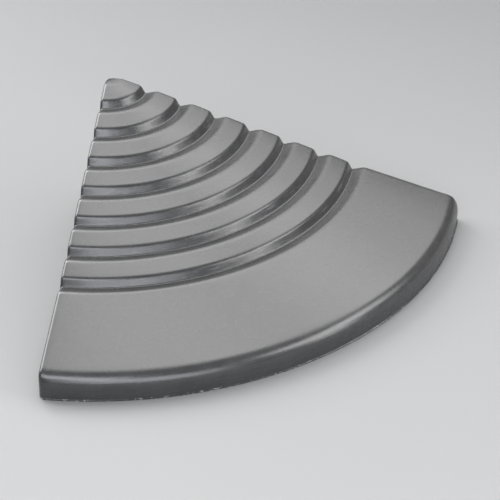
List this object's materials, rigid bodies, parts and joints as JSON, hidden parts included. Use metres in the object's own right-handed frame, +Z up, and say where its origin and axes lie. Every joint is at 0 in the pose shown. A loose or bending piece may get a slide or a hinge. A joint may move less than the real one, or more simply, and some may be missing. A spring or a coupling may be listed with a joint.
{
  "type": "kerb ramp corner element",
  "caption": "Quarter-round rubber corner ramp: concentric non-slip rings fall from a high corner to a thin rounded toe. The dowel sleeves in both joint faces are assumed.",
  "frame": {"origin": "centre of the footprint's bounding square, on the ground", "axes": "+Z up. The left joint face is the plane at -X, the back joint face is the plane at +Y, the high corner is between them, and the curved toe faces +X -Y"},
  "size_m": [0.3998, 0.3998, 0.152],
  "materials": {
    "ramp_rubber": "moulded black rubber, smooth and slightly glossy from the mould",
    "sleeve_plastic": "black moulded plastic"
  },
  "bodies": {
    "root": {"ramp_body": "ramp_rubber", "dowel_sleeve_left_inner": "sleeve_plastic", "dowel_sleeve_left_outer": "sleeve_plastic", "dowel_sleeve_back_inner": "sleeve_plastic", "dowel_sleeve_back_outer": "sleeve_plastic"}
  },
  "joints": []
}
